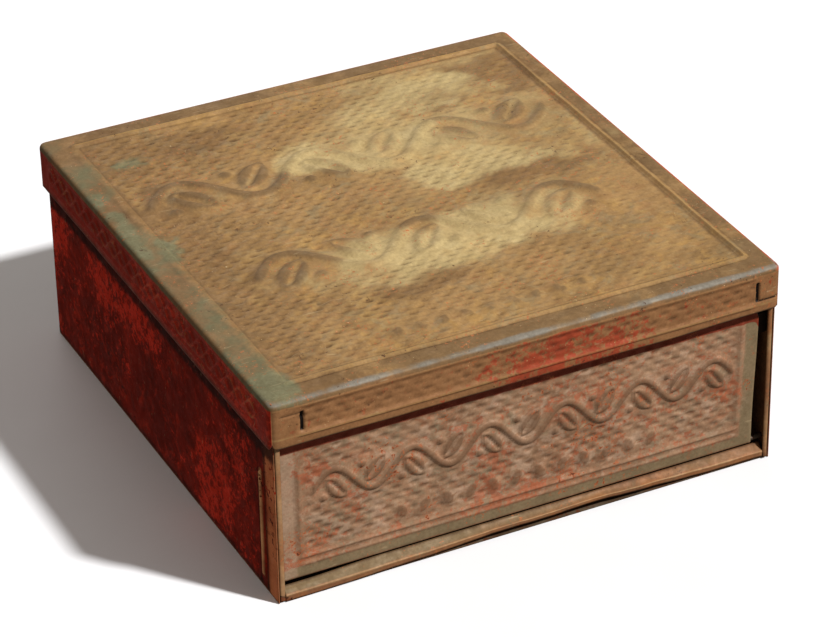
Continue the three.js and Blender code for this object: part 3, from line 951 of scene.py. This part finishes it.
def rounded_line(corners, radius, steps=4):
    """A line through corners with its bends rounded: places and left-hand directions."""
    points = [np.array(corners[0], float)]
    for before, here, after in zip(corners, corners[1:], corners[2:]):
        before, here, after = (np.array(p, float) for p in (before, here, after))
        into = (before - here) / np.linalg.norm(before - here)
        out = (after - here) / np.linalg.norm(after - here)
        half_angle = math.acos(np.clip(into @ out, -1, 1)) / 2
        reach = radius / math.tan(half_angle)
        centre = here + (into + out) / np.linalg.norm(into + out) * radius / math.sin(half_angle)
        start, end = here + into * reach - centre, here + out * reach - centre
        for t in np.linspace(0, 1, steps + 1):
            spoke = start * (1 - t) + end * t
            points.append(centre + spoke / np.linalg.norm(spoke) * radius)
    points.append(np.array(corners[-1], float))
    points = np.array(points)
    ahead = np.gradient(points, axis=0)
    ahead /= np.linalg.norm(ahead, axis=1)[:, None]
    return points, np.stack([-ahead[:, 1], ahead[:, 0]], -1)


def filled(points, step):
    """Adds even points along the long stretches of a line of rows."""
    rows = [points[0]]
    for a, b in zip(points, points[1:]):
        count = max(1, int(np.linalg.norm(b[:2] - a[:2]) / step))
        rows += [a + (b - a) * k / count for k in range(1, count + 1)]
    return np.array(rows)


# The grid is finer over this length beside the fold at the front left foot.
FOLD_REACH = 8

# The sill's front fold, the lower end of its rear leg, and how far its middle is bowed up.
SILL_FOLD_Z = 3.0
SILL_REAR_Z = 0.7
SILL_BOW = 3.1


def corner_fold(x, z, where):
    """The fold at the front left foot: a dark mitre line, and the wall's sheet below it."""
    line = (z - 3.6) + (x + 119.3) * 0.52
    return ridge(line, 0.45) * where, smoothstep(0.2, -0.2, line) * where


def make_post(label, side):
    """A folded corner strip beside the flap. side is -1 on the left and 1 on the right."""
    low, high = box_mm(f"{label}_front_post")
    outside = high[0] if side > 0 else low[0]
    opening = low[0] if side > 0 else high[0]
    corners = [(outside, high[1]), (outside, low[1]), (opening, low[1])]
    line, left = rounded_line(corners, 0.7)
    outward = left * (-1 if side < 0 else 1)
    row = filled(np.concatenate([line, outward], 1), 1.2)
    z = two_steps(low[2], low[2] + FOLD_REACH, high[2], 0.4, 2.2)
    shape = (len(z), len(row))
    x, y, nx, ny = (np.broadcast_to(row[:, k], shape) for k in range(4))
    z = np.broadcast_to(z[:, None], shape)
    face = smoothstep(low[1] + 1, low[1], y)
    foot = smoothstep(low[2] + 5, low[2], z) * (0.9 if side > 0 else 0.3)
    bow = 0.2 * cloud(z, x * 0 + side * 9, 40, 91, 2) * face
    base = np.stack([x, y - foot * face * 0.5, z], -1)
    normals = np.stack([nx, ny, np.zeros_like(z)], -1)
    masks = {
        # Darker towards the foot, and deeper in the gap behind the flange: painted shade in the gap.
        "grime": 0.6 * smoothstep(low[2] + 6, low[2], z) + 0.5 * smoothstep(low[1] + 1, low[1] + 4, y),
        "crest": face * (0.4 + 1.1 * cloud(z, x, 12, 92)),
    }
    masks["slit"], masks["wrap"] = corner_fold(x, z, face * (side < 0))
    sheet = Sheet(f"{label}_corner_strip")
    sheet.panel(base, normals, bow, masks, *map(range, shape), flip=side < 0)
    place(sheet.build([STRIP_METAL]), "body", "strip_brown", f"{label}_front_post")


def make_sill():
    """The folded strip along the bottom of the front, bowed up in the middle."""
    low, high = box_mm("front_sill")
    corners = [
        (low[1], low[2]), (low[1], SILL_FOLD_Z), (FLAP_FACE_Y, high[2]), (high[1], high[2]),
        (high[1], SILL_REAR_Z),
    ]
    line, left = rounded_line(corners, 0.5)
    row = filled(np.concatenate([line, left], 1), 0.8)
    xs = two_steps(low[0], low[0] + FOLD_REACH, high[0], 0.5, 1.6)
    shape = (len(row), len(xs))
    y, z, ny, nz = (np.broadcast_to(row[:, k][:, None], shape) for k in range(4))
    x = np.broadcast_to(xs, shape)
    in_front = y < FLAP_FACE_Y - 0.3
    level = np.zeros_like(x)
    arch = smoothstep(-112, -10, x) * (1 - 0.55 * smoothstep(30, 116, x))
    bow = SILL_BOW * arch * smoothstep(6.0, 0.0, z) ** 0.7 * in_front
    bow = bow * (0.9 + 0.4 * cloud(x, level, 50, 101, 3))
    bow = bow + 0.35 * arch * cloud(x, level, 9, 102, 2) * in_front
    dip = 1.2 * smoothstep(-70, -108, x) * smoothstep(4.5, high[2], z)
    bent_z = z + bow - dip
    bent_y = y + 0.25 * cloud(x, level, 35, 103, 2) * in_front
    # The fold is raised a little and painted lighter: a painted highlight.
    light = ridge(z - SILL_FOLD_Z, 0.8) * (y < low[1] + 1.2)
    slope = smoothstep(3.4, 4.0, z)
    masks = {
        "border": slope * (1 + 0.6 * cloud(x, z * 4, 30, 105)) * (0.45 + 0.65 * smoothstep(20, -80, x)),
        "crest": light * (0.8 + 0.6 * cloud(x, z, 9, 106)),
        # Darker at the foot and where the slope runs in under the flap's curl: painted shade in that
        # recess.
        "grime": 0.6 * smoothstep(1.2, 0.0, z) + 0.5 * smoothstep(FLAP_FACE_Y - 0.9, FLAP_FACE_Y, y),
    }
    masks["slit"], masks["wrap"] = corner_fold(x, z, in_front * 1.0)
    normals = np.stack([np.zeros_like(x), ny, nz], -1)
    base = np.stack([x, bent_y, bent_z], -1)
    sheet = Sheet("sill_strip")
    sheet.panel(base, normals, 0.15 * light, masks, *map(range, shape))
    place(sheet.build([STRIP_METAL]), "body", "strip_brown", "front_sill")


# ---------------- small pieces

def soften(node, body, slot, material, width_mm):
    """Stands a copy of a CAD node with its edges worn round in the node's place."""
    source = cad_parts[node]
    mesh = bmesh.new()
    mesh.from_mesh(source.data)
    bmesh.ops.remove_doubles(mesh, verts=mesh.verts, dist=1e-6)
    bmesh.ops.dissolve_limit(mesh, angle_limit=0.01, verts=mesh.verts, edges=mesh.edges)
    folds = [e for e in mesh.edges if len(e.link_faces) == 2]
    sharp = [e for e in folds if e.calc_face_angle() > math.radians(35)]
    bmesh.ops.bevel(
        mesh, geom=sharp, offset=width_mm * MM, segments=2, profile=0.5,
        affect="EDGES", clamp_overlap=True,
    )
    for face in mesh.faces:
        face.smooth = True
    data = bpy.data.meshes.new(f"{node}_worn")
    mesh.to_mesh(data)
    mesh.free()
    data.set_sharp_from_angle(angle=math.radians(40))
    data.materials.append(material)
    place(add_object(f"{node}_worn", data), body, slot, node)


# How far in from the floor's edge a point still belongs to that edge.
EDGE_BAND = 6.0


def make_bottom():
    """The tin's floor, its left, right and rear edges let out to meet the walls."""
    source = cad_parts["bottom_sheet"]
    high = box_mm("bottom_sheet")[1]
    mesh = source.data.copy()
    mesh.transform(source.matrix_world)
    reach_x = wall_high[0] - SHEET
    reach_y = wall_high[1] - SHEET
    for vertex in mesh.vertices:
        if abs(vertex.co.x) > (high[0] - EDGE_BAND) * MM:
            vertex.co.x *= reach_x / high[0]
        if vertex.co.y > (high[1] - EDGE_BAND) * MM:
            vertex.co.y *= reach_y / high[1]
    mesh.materials.clear()
    mesh.materials.append(INNER_TIN)
    place(add_object("bottom_fitted", mesh), "body", "inner_rust", "bottom_sheet")


def make_small_pieces():
    """The wire, which keeps its CAD shape, and the flap's stops and both hinges."""
    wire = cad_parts["flap_hinge_wire"].data
    wire.materials.clear()
    wire.materials.append(HINGE_STEEL)
    for label in ("left", "right"):
        # The stops are painted near-black as painted shade in the gap.
        soften(f"{label}_flap_stop", "body", "strip_brown", SHADE_BLACK_TIN, 0.1)
        for part, body in (("body_leaf", "body"), ("lid_leaf", "lid"), ("pin", "body")):
            soften(f"{label}_hinge_{part}", body, "old_steel", HINGE_STEEL, 0.15)


# ---------------- stage, light and camera

# The photograph's viewpoint, in degrees and metres, with its lens in millimetres.
CAMERA_AZIMUTH = 26.11
CAMERA_HEIGHT = 31.34
CAMERA_ROLL = -0.97
CAMERA_DISTANCE = 1.6527
CAMERA_LENS = 157.6
AIM_RIGHT = 0.0044
AIM_UP = 0.0328

KEY = {"azimuth": 40, "height": 46, "softness": 4, "strength": 4.3, "colour": (1.0, 0.98, 0.95)}
REAR = {"azimuth": 172, "height": 32, "softness": 40, "strength": 0.6, "colour": (1.0, 0.96, 0.92)}


PAPER_TONES = ((0.86, 0.88, 0.92, 1.0), (0.88, 0.90, 0.94, 1.0))
BACKDROP_TONES = ((0.90, 0.90, 0.90, 1.0), (0.93, 0.93, 0.93, 1.0))
BACKDROP_RADIUS = 14.0
FLOOR_REACH = 6.0


def make_camera():
    angles = (CAMERA_AZIMUTH, CAMERA_HEIGHT, CAMERA_ROLL)
    azimuth, height, roll = (math.radians(v) for v in angles)
    forward = Vector((
        math.sin(azimuth) * math.cos(height), math.cos(azimuth) * math.cos(height), -math.sin(height),
    ))
    level = Vector((math.cos(azimuth), -math.sin(azimuth), 0))
    right = Matrix.Rotation(-roll, 3, forward) @ level
    up = right.cross(forward)
    camera = add_object("camera", bpy.data.cameras.new("camera"))
    camera.data.lens = CAMERA_LENS
    camera.data.sensor_width = 36
    axes = Matrix((right, up, -forward)).transposed()
    eye = right * AIM_RIGHT + up * AIM_UP - forward * CAMERA_DISTANCE
    camera.matrix_world = Matrix.Translation(eye) @ axes.to_4x4()
    bpy.context.scene.camera = camera


def add_lamp(name, azimuth, height, softness, strength, colour):
    """A far lamp. Azimuth 0 is in front of the tin and 90 on its right; angles are in degrees."""
    a, h = math.radians(azimuth), math.radians(height)
    away = Vector((math.sin(a) * math.cos(h), -math.cos(a) * math.cos(h), math.sin(h)))
    lamp = add_object(name, bpy.data.lights.new(name, "SUN"))
    lamp.data.angle = math.radians(softness)
    lamp.data.energy = strength
    lamp.data.color = colour
    lamp.rotation_euler = away.to_track_quat("Z", "Y").to_euler()


def make_backdrop():
    """A pale dome far outside everything, which only the camera sees."""
    mesh = bpy.data.meshes.new("backdrop")
    shell = bmesh.new()
    bmesh.ops.create_uvsphere(shell, u_segments=48, v_segments=24, radius=BACKDROP_RADIUS)
    bmesh.ops.reverse_faces(shell, faces=shell.faces)
    shell.to_mesh(mesh)
    shell.free()
    backdrop = add_object("backdrop", mesh)
    for ray in ("diffuse", "glossy", "transmission", "volume_scatter", "shadow"):
        setattr(backdrop, f"visible_{ray}", False)
    s = Surface("backdrop_paper", 0.0, 0.0)
    tone = s.mix(s.remap(s.noise(4000, 2), 0.3, 0.7), *BACKDROP_TONES)
    s.put((0.0, 0.0, 0.0, 1.0), s.shader.inputs["Base Color"])
    s.put(tone, s.shader.inputs["Emission Color"])
    s.shader.inputs["Emission Strength"].default_value = 1.0
    mesh.materials.append(s.material)


def make_stage():
    """White paper under the tin, the backdrop, the room's faint light and two lamps."""
    mesh = bpy.data.meshes.new("floor")
    corners = [(x * FLOOR_REACH, y * FLOOR_REACH, 0) for x, y in ((-1, -1), (1, -1), (1, 1), (-1, 1))]
    mesh.from_pydata(corners, [], [(0, 1, 2, 3)])
    floor = add_object("floor", mesh)
    floor.visible_diffuse = False
    floor.visible_glossy = False
    floor.location.z = -0.0002
    s = Surface("floor_paper", 0.0, 0.1)
    tone = s.mix(s.remap(s.noise(60, 3), 0.3, 0.7), *PAPER_TONES)
    mesh.materials.append(s.finish(tone, 0.9, s.bump(s.noise(1.5), 0.02)))
    make_backdrop()
    world = bpy.data.worlds.new("studio")
    world.use_nodes = True
    background = world.node_tree.nodes["Background"]
    background.inputs["Color"].default_value = (1.0, 0.88, 0.76, 1.0)
    background.inputs["Strength"].default_value = 0.22
    bpy.context.scene.world = world
    bpy.context.scene.view_settings.view_transform = "Standard"
    add_lamp("key", **KEY)
    add_lamp("rear", **REAR)


make_camera()
make_stage()
make_lid()
make_flap()
make_walls()
make_post("left", -1)
make_post("right", 1)
make_sill()
make_bottom()
make_small_pieces()
